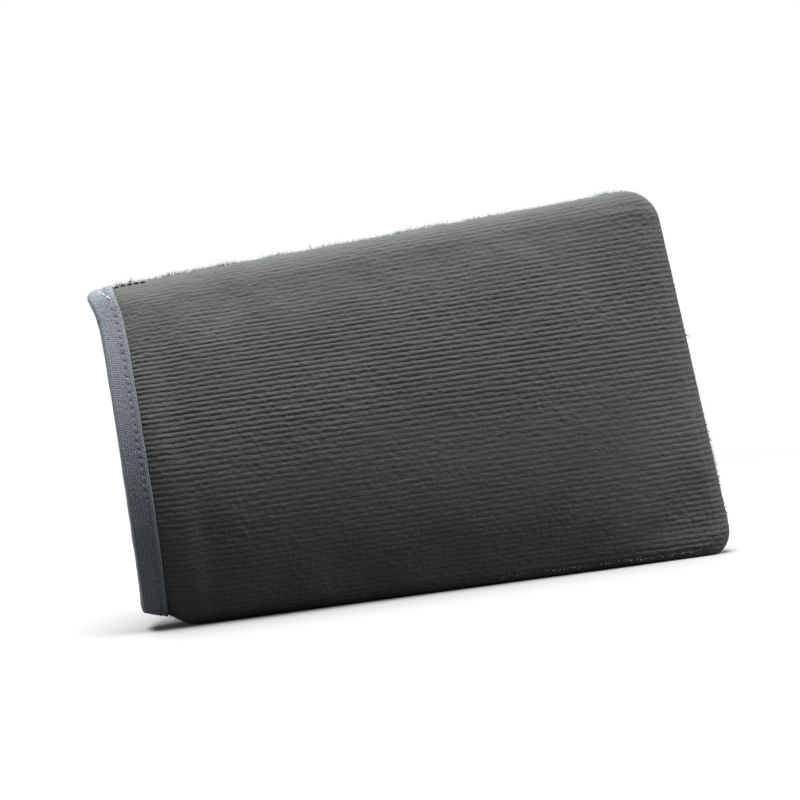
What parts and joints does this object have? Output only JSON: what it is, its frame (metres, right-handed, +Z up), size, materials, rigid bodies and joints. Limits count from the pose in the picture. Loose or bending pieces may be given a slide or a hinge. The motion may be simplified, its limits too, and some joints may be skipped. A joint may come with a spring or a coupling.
{
  "type": "wash mitt",
  "caption": "Padded hand mitt for washing paintwork, with a ribbed rubber face, a microfibre pile back and a tape-bound mouth, standing on its long edge.",
  "frame": {"origin": "centre of the footprint, on the surface that the long lower edge stands on", "axes": "+X from the mouth to the fingertips, +Z up across the width, the ribbed face towards -Y and the pile back towards +Y"},
  "size_m": [0.2539, 0.0624, 0.1549],
  "materials": {
    "face_rubber": "matte, soft ribbed rubber on cloth",
    "foam": "open-cell foam laminate",
    "lining": "knitted lining",
    "microfibre": "short looped microfibre pile",
    "wadding": "soft wadding",
    "dark_thread": "spun sewing thread",
    "tape": "woven tape",
    "tape_thread": "spun sewing thread",
    "pale_thread": "spun sewing thread"
  },
  "bodies": {
    "root": {"ribbed_face": "face_rubber", "front_foam": "foam", "front_lining": "lining", "microfibre_back": "microfibre", "back_wadding": "wadding", "back_lining": "lining", "front_seam_margin": "face_rubber", "back_seam_margin": "microfibre", "seam_needle_thread": "dark_thread", "seam_bobbin_thread": "dark_thread", "overlock_thread": "dark_thread", "cuff_binding": "tape", "binding_lap": "tape", "binding_needle_thread": "tape_thread", "binding_bobbin_thread": "tape_thread", "lap_tack_thread": "pale_thread"}
  },
  "joints": []
}
